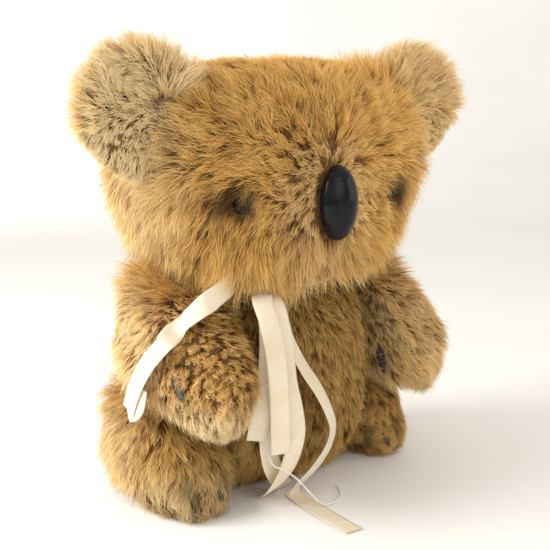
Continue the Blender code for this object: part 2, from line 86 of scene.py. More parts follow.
# Ribbons: 11 mm satin. A ribbon's stations are its places and the direction across it at each.
# bodies is what it rides on, or two bodies that it stretches between and where that happens.
RIBBON_WIDTH = 0.011
RIBBON_THICK = 0.00025
GATHER_LENGTH = 0.014
BAND_CENTRE = (0.0, -0.012, 0.1214)
BAND_RADIUS = 0.0345
BAND_HALF = 0.0014
KNOT_CENTRE = (-0.0295, -0.0400, 0.1205)
KNOT_HALF = (0.0065, 0.0070, 0.0040)
SIDEWAYS = (0.95, -0.30, 0.0)
RIBBONS = {
    "ribbon_strip_over_arm": {
        "stations": (
            ((-0.0320, -0.0330, 0.1205), (0.35, 0.15, 1.0)),
            ((-0.0410, -0.0400, 0.1255), (0.4, 0.15, 0.95)),
            ((-0.0512, -0.0455, 0.1292), (0.5, 0.15, 0.85)),
            ((-0.0628, -0.0480, 0.1248), (0.5, 0.2, 0.85)),
            ((-0.0743, -0.0490, 0.1198), (0.5, 0.3, 0.8)),
            ((-0.0820, -0.0465, 0.1142), (0.45, 0.45, 0.75)),
            ((-0.0877, -0.0430, 0.1081), (0.35, 0.6, 0.7)),
            ((-0.0975, -0.0449, 0.1017), (0.15, 0.75, 0.6)),
            ((-0.1005, -0.0370, 0.0927), (0.05, 0.85, 0.5)),
            ((-0.1010, -0.0276, 0.0820), (0.0, 0.88, 0.45)),
            ((-0.1010, -0.0200, 0.0709), (0.0, 0.9, 0.42)),
            ((-0.1010, -0.0143, 0.0594), (0.0, 0.92, 0.38)),
        ),
        "rows": 100,
        "replaced": ["ribbon_over_arm"],
        "bodies": ("torso", "arm_right", (-0.0520, -0.0470, 0.1290), (-0.0850, -0.0440, 0.1110)),
        "held": "draped",
        "rests_on": ["arm_right_hide"],
    },
    "ribbon_turned_end": {
        "stations": (
            ((-0.1006, -0.0136, 0.0585), (0.0, 0.6, 0.8)),
            ((-0.1000, -0.0188, 0.0604), (0.0, 0.55, 0.85)),
            ((-0.0996, -0.0235, 0.0660), (0.0, 0.85, 0.5)),
            ((-0.0992, -0.0253, 0.0746), (0.0, 0.97, 0.2)),
        ),
        "rows": 24,
        "replaced": [],
        "bodies": ("arm_right",),
        "held": "folded",
        "rests_on": ["ribbon_strip_over_arm"],
        "gathered": False,
    },
    "ribbon_tail_front": {
        "stations": (
            ((-0.0330, -0.0460, 0.1210), SIDEWAYS),
            ((-0.0447, -0.0585, 0.1198), SIDEWAYS),
            ((-0.0452, -0.0650, 0.1093), SIDEWAYS),
            ((-0.0440, -0.0685, 0.0948), SIDEWAYS),
            ((-0.0432, -0.0700, 0.0788), SIDEWAYS),
            ((-0.0423, -0.0705, 0.0623), SIDEWAYS),
            ((-0.0412, -0.0700, 0.0373), SIDEWAYS),
        ),
        "rows": 80,
        "replaced": ["ribbon_tail_main"],
        "bodies": ("torso",),
        "held": "hung",
        "rests_on": ["ribbon_neck_band"],
    },
    "ribbon_tail_behind": {
        "stations": (
            ((-0.0325, -0.0440, 0.1200), SIDEWAYS),
            ((-0.0396, -0.0555, 0.1159), SIDEWAYS),
            ((-0.0408, -0.0595, 0.1032), SIDEWAYS),
            ((-0.0420, -0.0610, 0.0901), (0.9, -0.42, 0.0)),
            ((-0.0442, -0.0620, 0.0770), (0.85, -0.5, 0.0)),
            ((-0.0480, -0.0625, 0.0614), (0.88, -0.46, 0.0)),
            ((-0.0510, -0.0610, 0.0443), (0.94, -0.34, 0.0)),
        ),
        "rows": 70,
        "replaced": ["ribbon_tail_side"],
        "bodies": ("torso",),
        "held": "hung",
        "rests_on": ["ribbon_neck_band"],
    },
    "ribbon_loop_down": {
        "stations": (
            ((-0.0315, -0.0430, 0.1195), SIDEWAYS),
            ((-0.0338, -0.0525, 0.1117), SIDEWAYS),
            ((-0.0346, -0.0560, 0.0932), SIDEWAYS),
            ((-0.0379, -0.0575, 0.0635), (0.95, -0.25, 0.0)),
            ((-0.0400, -0.0575, 0.0441), (0.96, -0.15, 0.0)),
            ((-0.0375, -0.0570, 0.0278), (0.97, -0.1, 0.1)),
            ((-0.0293, -0.0530, 0.0150), (0.98, 0.0, 0.15)),
            ((-0.0133, -0.0388, 0.0012), (0.98, 0.1, 0.05)),
        ),
        "rows": 80,
        "replaced": [],
        "bodies": ("torso",),
        "held": "hung",
        "rests_on": ["ribbon_neck_band", "floor"],
    },
    "ribbon_loop_up": {
        "stations": (
            ((-0.0310, -0.0450, 0.1205), SIDEWAYS),
            ((-0.0361, -0.0570, 0.1172), SIDEWAYS),
            ((-0.0351, -0.0625, 0.1029), SIDEWAYS),
            ((-0.0344, -0.0650, 0.0869), SIDEWAYS),
            ((-0.0331, -0.0660, 0.0730), SIDEWAYS),
            ((-0.0301, -0.0675, 0.0577), (0.97, -0.24, 0.0)),
            ((-0.0286, -0.0675, 0.0432), (0.97, -0.2, 0.05)),
            ((-0.0313, -0.0640, 0.0255), (0.97, -0.1, 0.15)),
            ((-0.0345, -0.0550, 0.0106), (0.96, 0.05, 0.2)),
            ((-0.0307, -0.0403, 0.0022), (0.96, 0.2, 0.08)),
            ((-0.0326, -0.0297, 0.0009), (0.94, 0.35, 0.0)),
        ),
        "rows": 100,
        "replaced": ["ribbon_loop"],
        "bodies": ("torso",),
        "held": "hung",
        "rests_on": ["ribbon_neck_band", "floor"],
    },
    "ribbon_tail_to_floor": {
        "stations": (
            ((-0.0300, -0.0435, 0.1195), (0.95, -0.1, 0.0)),
            ((-0.0309, -0.0540, 0.1159), (0.93, 0.1, 0.0)),
            ((-0.0293, -0.0580, 0.1038), (0.9, 0.3, 0.0)),
            ((-0.0265, -0.0605, 0.0939), (0.85, 0.45, 0.12)),
            ((-0.0189, -0.0625, 0.0790), (0.82, 0.50, 0.22)),
            ((-0.0091, -0.0630, 0.0652), (0.82, 0.50, 0.24)),
            ((-0.0015, -0.0630, 0.0519), (0.82, 0.52, 0.20)),
            ((0.0025, -0.0630, 0.0399), (0.85, 0.48, 0.05)),
            ((-0.0002, -0.0620, 0.0289), (0.88, 0.42, -0.15)),
            ((-0.0074, -0.0600, 0.0187), (0.92, 0.32, -0.12)),
            ((-0.0150, -0.0560, 0.0098), (0.96, 0.2, 0.05)),
            ((-0.0151, -0.0500, 0.0024), (0.97, 0.2, 0.1)),
            ((-0.0168, -0.0581, 0.0008), (1.0, 0.05, 0.0)),
            ((-0.0185, -0.0720, 0.0008), (1.0, 0.05, 0.0)),
            ((-0.0201, -0.0886, 0.0008), (1.0, 0.05, 0.0)),
            ((-0.0213, -0.1062, 0.0008), (1.0, 0.05, 0.0)),
        ),
        "rows": 140,
        "replaced": ["ribbon_floor_tail"],
        "bodies": ("torso",),
        "held": "hung",
        "rests_on": ["ribbon_neck_band", "floor"],
        "cup": 0.03,
    },
}

# Fur: tufts of blades. A blade has a few steps and ends in a point, and its taper is its width
# at each station. Densities are in tufts a square metre.
BLADES = 12
STEPS = 3
BLADE_WIDTH = 0.00030
BLADE_TAPER = (0.85, 1.0, 0.7, 0.0)
TUFT_SPREAD = 0.0024
MOST_TUFTS = 3300
HEAD_DENSITY = 190e3
BODY_DENSITY = 165e3
EAR_DENSITY = 240e3
FLOOR_CLEARANCE = 0.0004
SHORTEST_FUR = 0.0005

# The nose moulding's depth from its flat back to its front.
NOSE_DEPTH = 0.0115

SIDES = (("left", 1.0), ("right", -1.0))


# ---- small helpers ----

def smooth(low, high, value):
    """0 below low, 1 above high and an easy slope between. low may be the larger."""
    t = np.clip((value - low) / (high - low), 0.0, 1.0)
    return t * t * (3.0 - 2.0 * t)


def unit(vectors):
    return vectors / np.maximum(np.linalg.norm(vectors, axis=-1, keepdims=True), 1e-12)


def dot(a, b):
    return np.sum(a * b, axis=-1, keepdims=True)


def middle(name):
    low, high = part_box(name)
    return (Vector(low) + Vector(high)) / 2


def spline(points, count):
    """Evenly numbered points along a Catmull-Rom curve through the given points."""
    ends = [np.array(point, float) for point in points]
    line = [2 * ends[0] - ends[1], *ends, 2 * ends[-1] - ends[-2]]
    route = []
    for step in range(count):
        at = step / (count - 1) * (len(ends) - 1)
        first = min(int(at), len(ends) - 2)
        t = at - first
        a, b, c, d = line[first:first + 4]
        route.append(0.5 * (2 * b + (c - a) * t + (2 * a - 5 * b + 4 * c - d) * t * t
                            + (3 * b - a - 3 * c + d) * t**3))
    return np.array(route)


def link(thing):
    bpy.context.scene.collection.objects.link(thing)
    return thing


def mesh_from(name, places, faces):
    """A smooth-shaded mesh from arrays of places and of triangles or quads."""
    sides = faces.shape[1]
    mesh = bpy.data.meshes.new(name)
    mesh.vertices.add(len(places))
    mesh.vertices.foreach_set("co", places.astype(np.float32).ravel())
    mesh.loops.add(faces.size)
    mesh.loops.foreach_set("vertex_index", faces.astype(np.int32).ravel())
    mesh.polygons.add(len(faces))
    mesh.polygons.foreach_set("loop_start", np.arange(0, faces.size, sides, dtype=np.int32))
    mesh.polygons.foreach_set("use_smooth", np.ones(len(faces), dtype=bool))
    mesh.update(calc_edges=True)
    return mesh


# ---- materials ----

def node(tree, kind, values=(), **settings):
    made = tree.nodes.new(kind)
    for key, value in settings.items():
        setattr(made, key, value)
    for key, value in dict(values).items():
        if isinstance(value, bpy.types.NodeSocket):
            tree.links.new(value, made.inputs[key])
        else:
            made.inputs[key].default_value = value
    return made


def ramp(tree, factor, stops):
    made = node(tree, "ShaderNodeValToRGB", {"Fac": factor})
    elements = made.color_ramp.elements
    while len(elements) < len(stops):
        elements.new(0.5)
    for element, (place, colour) in zip(elements, stops):
        element.position = place
        element.color = (*colour, 1.0)
    return made.outputs["Color"]


def blend_colours(tree, factor, first, second, mode="MIX"):
    made = node(tree, "ShaderNodeMix", data_type="RGBA", blend_type=mode)
    for index, value in ((0, factor), (6, first), (7, second)):
        if isinstance(value, bpy.types.NodeSocket):
            tree.links.new(value, made.inputs[index])
        else:
            made.inputs[index].default_value = value
    return made.outputs[2]


def math_node(tree, operation, first, second):
    return node(tree, "ShaderNodeMath", {0: first, 1: second}, operation=operation).outputs[0]


def noise(tree, scale, detail=3.0, roughness=0.55, stretch=(1.0, 1.0, 1.0)):
    place = node(tree, "ShaderNodeTexCoord").outputs["Object"]
    spread = node(tree, "ShaderNodeMapping", {"Vector": place, "Scale": stretch})
    values = {"Vector": spread.outputs[0], "Scale": scale, "Detail": detail, "Roughness": roughness}
    return node(tree, "ShaderNodeTexNoise", values).outputs[0]


def bump(tree, shader, height, strength, distance):
    values = {"Height": height, "Strength": strength, "Distance": distance}
    tree.links.new(node(tree, "ShaderNodeBump", values).outputs[0], shader.inputs["Normal"])


def new_material(name, **sockets):
    made = bpy.data.materials.new(name)
    made.use_nodes = True
    shader = made.node_tree.nodes["Principled BSDF"]
    for key, value in sockets.items():
        shader.inputs[key.replace("_", " ")].default_value = value
    return made, made.node_tree, shader


def attribute(tree, name):
    return node(tree, "ShaderNodeAttribute", attribute_name=name).outputs["Fac"]


def fur_material():
    """Brown at the roots and gold at the tips, varied tuft by tuft and patch by patch."""
    made, tree, shader = new_material("fur", Roughness=0.55, IOR=1.45)
    shader.inputs["Specular IOR Level"].default_value = 0.22
    along = attribute(tree, "along")
    gold = ramp(tree, along, (
        (0.0, (0.24, 0.095, 0.020)),
        (0.35, (0.60, 0.305, 0.066)),
        (0.75, (0.87, 0.545, 0.155)),
        (1.0, (0.96, 0.750, 0.340)),
    ))
    dull = ramp(tree, along, (
        (0.0, (0.15, 0.062, 0.016)),
        (0.5, (0.42, 0.205, 0.052)),
        (1.0, (0.62, 0.350, 0.105)),
    ))
    cream = ramp(tree, along, (
        (0.0, (0.52, 0.330, 0.130)),
        (0.5, (0.92, 0.715, 0.385)),
        (1.0, (0.97, 0.870, 0.600)),
    ))
    shade = math_node(tree, "ADD", attribute(tree, "shade"), noise(tree, 38.0, 3.0))
    dullness = ramp(tree, shade, ((0.62, (1, 1, 1)), (1.05, (0, 0, 0))))
    colour = blend_colours(tree, dullness, gold, dull)
    colour = blend_colours(tree, attribute(tree, "pale"), colour, cream)
    # The dark attribute blends in painted shade round the eyes, in creases and toe grooves, down the torso's
    # front and on the inner arms; on the legs it is a plain darkening, more at the feet.
    colour = blend_colours(tree, attribute(tree, "dark"), colour, (0.040, 0.020, 0.009, 1.0))
    tree.links.new(colour, shader.inputs["Base Color"])
    return made


def hide_material():
    """The dense woolly underfur close to the skin."""
    made, tree, shader = new_material("hide", Roughness=0.95)
    shader.inputs["Specular IOR Level"].default_value = 0.05
    colour = ramp(tree, noise(tree, 260.0, 5.0), (
        (0.30, (0.060, 0.030, 0.012)),
        (0.55, (0.17, 0.090, 0.035)),
        (0.80, (0.30, 0.170, 0.070)),
    ))
    tree.links.new(colour, shader.inputs["Base Color"])
    bump(tree, shader, noise(tree, 900.0, 4.0), 0.8, 0.0006)
    return made


def wadding_material():
    made, tree, shader = new_material("wadding", Roughness=0.95)
    colour = ramp(tree, noise(tree, 120.0, 6.0, 0.7), (
        (0.3, (0.62, 0.54, 0.40)),
        (0.7, (0.86, 0.80, 0.68)),
    ))
    tree.links.new(colour, shader.inputs["Base Color"])
    bump(tree, shader, noise(tree, 420.0, 6.0, 0.7, (1.0, 0.3, 1.0)), 0.7, 0.0008)
    return made


def hardboard_material():
    made, tree, shader = new_material("hardboard", Roughness=0.78)
    colour = ramp(tree, noise(tree, 700.0, 5.0, 0.6, (1.0, 0.25, 1.0)), (
        (0.3, (0.16, 0.095, 0.050)),
        (0.7, (0.36, 0.235, 0.130)),
    ))
    tree.links.new(colour, shader.inputs["Base Color"])
    bump(tree, shader, noise(tree, 1500.0, 3.0), 0.3, 0.0002)
    return made


def steel_material():
    made, tree, shader = new_material("steel", Metallic=1.0, Roughness=0.38)
    colour = ramp(tree, noise(tree, 300.0, 4.0), (
        (0.35, (0.40, 0.39, 0.37)),
        (0.65, (0.62, 0.61, 0.59)),
    ))
    tree.links.new(colour, shader.inputs["Base Color"])
    bump(tree, shader, noise(tree, 900.0, 3.0, 0.6, (1.0, 6.0, 1.0)), 0.15, 0.0001)
    return made


def plastic_material():
    """Glossy black moulding with a faintly uneven face."""
    made, tree, shader = new_material("black_plastic", Roughness=0.12, IOR=1.5)
    shader.inputs["Specular IOR Level"].default_value = 0.20
    colour = ramp(tree, noise(tree, 240.0, 4.0), (
        (0.35, (0.003, 0.003, 0.004)),
        (0.75, (0.010, 0.011, 0.015)),
    ))
    tree.links.new(colour, shader.inputs["Base Color"])
    bump(tree, shader, noise(tree, 230.0, 4.0, 0.55, (1.0, 1.0, 0.4)), 0.22, 0.0006)
    return made


def leather_material():
    made, tree, shader = new_material("leather", Roughness=0.5)
    colour = ramp(tree, noise(tree, 420.0, 4.0), (
        (0.3, (0.018, 0.016, 0.020)),
        (0.7, (0.060, 0.052, 0.058)),
    ))
    tree.links.new(colour, shader.inputs["Base Color"])
    place = node(tree, "ShaderNodeTexCoord").outputs["Object"]
    grain = node(tree, "ShaderNodeTexVoronoi", {"Vector": place, "Scale": 1600.0})
    bump(tree, shader, grain.outputs["Distance"], 0.4, 0.0002)
    return made


def satin_material():
    """Cream satin: a soft sheen over fine lengthwise floats, faintly yellowed in patches."""
    made, tree, shader = new_material("satin", Roughness=0.42)
    shader.inputs["Sheen Weight"].default_value = 0.35
    shader.inputs["Sheen Roughness"].default_value = 0.4
    across = node(tree, "ShaderNodeUVMap", uv_map="strip").outputs[0]
    stretched = node(tree, "ShaderNodeMapping", {"Vector": across, "Scale": (1.0, 0.05, 1.0)})
    threads = node(tree, "ShaderNodeTexNoise", {"Vector": stretched.outputs[0], "Scale": 60.0, "Detail": 3.0})
    colour = ramp(tree, threads.outputs[0], (
        (0.3, (0.76, 0.66, 0.49)),
        (0.7, (0.86, 0.78, 0.63)),
    ))
    worn = ramp(tree, noise(tree, 70.0, 3.0), ((0.35, (0.93, 0.90, 0.84)), (0.6, (1.0, 1.0, 1.0))))
    tree.links.new(blend_colours(tree, 1.0, colour, worn, "MULTIPLY"), shader.inputs["Base Color"])
    bump(tree, shader, threads.outputs[0], 0.25, 0.0002)
    return made


def thread_material():
    made, tree, shader = new_material("thread", Roughness=0.7)
    twist = noise(tree, 1500.0, 3.0, 0.6, (1.0, 1.0, 2.0))
    colour = ramp(tree, twist, ((0.3, (0.70, 0.68, 0.62)), (0.7, (0.92, 0.91, 0.88))))
    tree.links.new(colour, shader.inputs["Base Color"])
    bump(tree, shader, twist, 0.5, 0.0002)
    return made


def floor_material():
    made, tree, shader = new_material("floor", Roughness=0.6)
    colour = ramp(tree, noise(tree, 3.0, 2.0), ((0.3, (0.885, 0.870, 0.845)), (0.7, (0.915, 0.900, 0.875))))
    tree.links.new(colour, shader.inputs["Base Color"])
    return made


# ---- the camera, then the cord ----

def make_camera():
    data = bpy.data.cameras.new("camera")
    data.lens = CAMERA_LENS
    data.sensor_width = 36.0
    camera = link(bpy.data.objects.new("camera", data))
    camera.location = CAMERA_PLACE
    camera.rotation_euler = (CAMERA_TARGET - CAMERA_PLACE).to_track_quat("-Z", "Y").to_euler()
    bpy.context.scene.camera = camera


def make_thread():
    route = spline(THREAD_ROUTE, THREAD_POINTS)
    data = bpy.data.curves.new("swing_tag_thread", "CURVE")
    data.dimensions = "3D"
    data.bevel_depth = THREAD_DIAMETER / 2
    data.bevel_resolution = 3
    data.use_fill_caps = True
    line = data.splines.new("POLY")
    line.points.add(len(route) - 1)
    for point, place in zip(line.points, route):
        point.co = (*place, 1.0)
    thread = link(bpy.data.objects.new("swing_tag_thread", data))
    data.materials.append(MATERIALS["thread"])
    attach(thread, "torso")
    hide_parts("tag_thread")


# ---- hides ----

def node_tree_of(node_name):
    """A search tree of a CAD node's solid."""
    mesh = frame["nodes"][node_name].data
    places = [vertex.co for vertex in mesh.vertices]
    return BVHTree.FromPolygons(places, [tuple(face.vertices) for face in mesh.polygons])


def cast_skin(name, node_name):
    """A smooth closed skin on the outside of a CAD solid, cast in towards its middle."""
    low, high = (Vector(corner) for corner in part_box(node_name))
    centre, half = (low + high) / 2, (high - low) / 2
    solid = node_tree_of(node_name)
    bm = bmesh.new()
    bmesh.ops.create_icosphere(bm, subdivisions=SKIN_DETAIL, radius=1.0)
    for vert in bm.verts:
        outward = Vector((vert.co.x * half.x, vert.co.y * half.y, vert.co.z * half.z)).normalized()
        place, *_ = solid.ray_cast(centre + outward * 0.5, -outward)
        vert.co = place if place is not None else centre
    for _ in range(SKIN_SMOOTHING):
        bmesh.ops.smooth_vert(bm, verts=bm.verts, factor=0.5,
                              use_axis_x=True, use_axis_y=True, use_axis_z=True)
    bm.normal_update()
    mesh = bpy.data.meshes.new(name)
    bm.to_mesh(mesh)
    bm.free()
    mesh.shade_smooth()
    return mesh


class Skin:
    """A hide's surface as arrays, for scattering fur on it and for keeping fur out of it."""

    def __init__(self, mesh):
        count = len(mesh.vertices)
        self.places = np.empty(count * 3)
        mesh.vertices.foreach_get("co", self.places)
        self.places = self.places.reshape(-1, 3)
        self.normals = np.empty(count * 3)
        mesh.vertices.foreach_get("normal", self.normals)
        self.normals = self.normals.reshape(-1, 3)
        mesh.calc_loop_triangles()
        self.faces = np.empty(len(mesh.loop_triangles) * 3, dtype=np.int32)
        mesh.loop_triangles.foreach_get("vertices", self.faces)
        self.faces = self.faces.reshape(-1, 3)
        self.tree = BVHTree.FromPolygons(self.places.tolist(), self.faces.tolist())
        self.area = float(np.sum(self.face_areas()))

    def face_areas(self):
        a, b, c = (self.places[self.faces[:, k]] for k in range(3))
        return np.linalg.norm(np.cross(b - a, c - a), axis=1) / 2

    def scatter(self, count, rng):
        """Places and outward directions, spread evenly by area."""
        area = self.face_areas()
        chosen = rng.choice(len(area), count, p=area / area.sum())
        u, v = np.sqrt(rng.random(count)), rng.random(count)
        weights = np.stack((1 - u, u * (1 - v), u * v), axis=1)[:, :, None]
        places = np.sum(self.places[self.faces[chosen]] * weights, axis=1)
        normals = unit(np.sum(self.normals[self.faces[chosen]] * weights, axis=1))
        return places, normals

    def holds(self, places, margin):
        """Which places are inside the skin, or within a margin outside it."""
        inside = np.zeros(len(places), dtype=bool)
        for index, place in enumerate(places):
            near, normal, _, gap = self.tree.find_nearest(place)
            inside[index] = gap < margin or (Vector(place) - near).dot(normal) < 0.0
        return inside


def make_hide(name, node_name, body):
    """A body's hide as a thin shell under its fur."""
    mesh = cast_skin(name, node_name)
    hide = link(bpy.data.objects.new(name, mesh))
    skin = Skin(mesh)
    shell = hide.modifiers.new("thickness", "SOLIDIFY")
    shell.thickness = HIDE_THICK
    shell.offset = -1.0
    mesh.materials.append(MATERIALS["hide"])
    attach(hide, body)
    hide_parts(node_name)
    return skin


# ---- fur ----

class Coat:
    """How fur grows at a set of roots, one row or number for each."""

    def __init__(self, places, normals):
        count = len(places)
        self.p = places
        self.n = normals
        self.x, self.y, self.z = places.T
        self.flow = np.zeros((count, 3))
        self.length = np.full(count, 0.012)
        self.rise = np.full(count, 0.75)
        self.lay = np.full(count, 0.14)
        self.curl = np.full(count, 0.08)
        self.clump = np.full(count, 0.70)
        self.pale = np.zeros(count)
        self.dark = np.zeros(count)

    def keep(self, wanted):
        for key, value in vars(self).items():
            setattr(self, key, value[wanted])


def drift(places, wavelength, seed):
    """A smooth field over places, mostly within -1 to 1, that turns over in a wavelength."""
    rng = np.random.default_rng(seed)
    total = np.zeros(len(places))
    for _ in range(6):
        wave = unit(rng.normal(size=3)) * math.tau / (wavelength * rng.uniform(0.7, 1.5))
        total += np.sin(places @ wave + rng.random() * math.tau)
    return total / math.sqrt(6)


def blades_along(coat, rng):
    """The strands of every tuft, as stations (strand, station, xyz) and their half widths."""
    count = len(coat.p)
    strands = count * BLADES
    tangent = unit(coat.flow - dot(coat.flow, coat.n) * coat.n)
    side = np.cross(coat.n, tangent)

    def each(values):
        return np.repeat(values, BLADES, axis=0)

    def vary(per_tuft, per_strand):
        return each(rng.normal(0.0, per_tuft, count)) + rng.normal(0.0, per_strand, strands)

    angle = rng.random(strands) * math.tau
    reach = np.sqrt(rng.random(strands)) * TUFT_SPREAD
    tangent_each, side_each, normal_each = each(tangent), each(side), each(coat.n)
    offset = (np.cos(angle) * reach)[:, None] * tangent_each + (np.sin(angle) * reach)[:, None] * side_each
    turn = each(0.30 * drift(coat.p, 0.030, 11)) + vary(0.12, 0.10)
    bend = each(0.40 * drift(coat.p, 0.017, 12)) + vary(0.18, 0.20)
    stray = 0.45 * (rng.random(strands) < 0.05)
    rise = each(coat.rise + 0.12 * drift(coat.p, 0.022, 13)) + vary(0.08, 0.10) + stray
    lay = each(coat.lay) + vary(0.07, 0.09) + 0.5 * stray
    length = each(coat.length * (1.0 + 0.12 * drift(coat.p, 0.015, 14))) * rng.uniform(0.60, 1.10, strands)
    curl, clump = each(coat.curl), each(coat.clump)
    phase = each(rng.random(count)) * math.tau + rng.normal(0.0, 0.7, strands)
    point = each(coat.p) + offset
    stations = [point]
    for step in range(STEPS):
        part = (step + 0.5) / STEPS
        lift = rise + (lay - rise) * part
        yaw = turn + bend * part
        along = np.cos(yaw)[:, None] * tangent_each + np.sin(yaw)[:, None] * side_each
        run = np.cos(lift)[:, None] * along + np.sin(lift)[:, None] * normal_each
        run[:, 2] -= 0.14 * part
        point = point + unit(run) * (length / STEPS)[:, None]
        kink = np.sin(phase + 2.6 * (step + 1)) * curl * length * 0.5
        pull = -offset * (clump * (step + 1) / STEPS)[:, None]
        stations.append(point + pull + side_each * kink[:, None])
    stations = np.stack(stations, axis=1)
    stations[:, :, 2] = np.maximum(stations[:, :, 2], FLOOR_CLEARANCE)
    facing = unit(normal_each + rng.normal(0.0, 0.55, (strands, 3)))
    across = unit(np.cross(np.gradient(stations, axis=1), facing[:, None, :]))
    widths = BLADE_WIDTH * rng.uniform(0.7, 1.25, strands)[:, None] * np.array(BLADE_TAPER)
    return stations, across * widths[:, :, None] / 2


def strand_mesh(name, stations, half_across, values):
    """Flat tapered strands as triangles, with a number for each tuft as vertex attributes."""
    strands = len(stations)
    near, far = stations[:, :STEPS] - half_across[:, :STEPS], stations[:, :STEPS] + half_across[:, :STEPS]
    places = np.concatenate((near, far, stations[:, STEPS:]), axis=1)
    pattern = []
    for step in range(STEPS - 1):
        pattern.append((step, STEPS + step, STEPS + step + 1))
        pattern.append((step, STEPS + step + 1, step + 1))
    pattern.append((STEPS - 1, 2 * STEPS - 1, 2 * STEPS))
    per_strand = 2 * STEPS + 1
    faces = np.array(pattern)[None] + (np.arange(strands) * per_strand)[:, None, None]
    mesh = mesh_from(name, places.reshape(-1, 3), faces.reshape(-1, 3))
    steps = np.arange(STEPS) / STEPS
    values["along"] = np.tile(np.concatenate((steps, steps, (1.0,))), strands)
    for key, numbers in values.items():
        spread_out = np.repeat(numbers, len(places.reshape(-1, 3)) // len(numbers))
        data = mesh.attributes.new(key, "FLOAT", "POINT").data
        data.foreach_set("value", spread_out.astype(np.float32))
    return mesh


def grow(name, body, skin, density, style, seed, keep_out=()):
    """Fur on a body, in as many pieces as it needs. density is in tufts a square metre, style
    says how it grows, and keep_out lists the skins that it stays out of."""
    rng = np.random.default_rng(seed)
    coat = Coat(*skin.scatter(int(density * skin.area), rng))
    style(coat)
    coat.keep(coat.length > SHORTEST_FUR)
    flow = unit(coat.flow - dot(coat.flow, coat.n) * coat.n)
    tips = coat.p + (flow * 0.80 + coat.n * 0.35) * coat.length[:, None]
    wanted = np.ones(len(tips), dtype=bool)
    for other in keep_out:
        wanted &= ~(other.holds(coat.p, 0.0008) | other.holds(tips, 0.0))
    coat.keep(wanted)
    coat.keep(np.argsort(coat.x))
    stations, half_across = blades_along(coat, rng)
    shade = 0.34 + 0.11 * drift(coat.p, 0.016, 15) + rng.normal(0.0, 0.12, len(coat.p))
    count = math.ceil(len(coat.p) / MOST_TUFTS)
    for number, chosen in enumerate(np.array_split(np.arange(len(coat.p)), count), 1):
        strands = slice(chosen[0] * BLADES, (chosen[-1] + 1) * BLADES)
        piece = name if count == 1 else f"{name}_{number}"
        own_shade = np.repeat(shade[chosen], BLADES) + rng.normal(0.0, 0.10, len(chosen) * BLADES)
        mesh = strand_mesh(piece, stations[strands], half_across[strands], {
            "shade": own_shade + 0.2,
            "pale": np.clip(coat.pale[chosen], 0.0, 1.0),
            "dark": np.clip(coat.dark[chosen], 0.0, 1.0),
        })
        fur = link(bpy.data.objects.new(piece, mesh))
        mesh.materials.append(MATERIALS["fur"])
        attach(fur, body)


NOSE = middle("nose")
NOSE_HALF = (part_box("nose")[1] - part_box("nose")[0]) / 2
NOSE_HALF.y = NOSE_DEPTH
NOSE.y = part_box("nose")[0].y + NOSE_HALF.y
EYES = {label: middle(f"eye_{label}") for label, _ in SIDES}


def press(coat, ribbon_name, reach, share):
    """Shortens and flattens the fur that a ribbon lies on, by a share of its length."""
    route = spline([place for place, _ in RIBBONS[ribbon_name]["stations"]], 50)
    gap = np.min(np.linalg.norm(coat.p[:, None] - route[None], axis=2), axis=1)
    under = smooth(reach, 0.7 * reach, gap)
    coat.length *= 1.0 - share * under
    coat.rise *= 1.0 - 0.5 * under
    coat.lay *= 1.0 - 0.9 * under


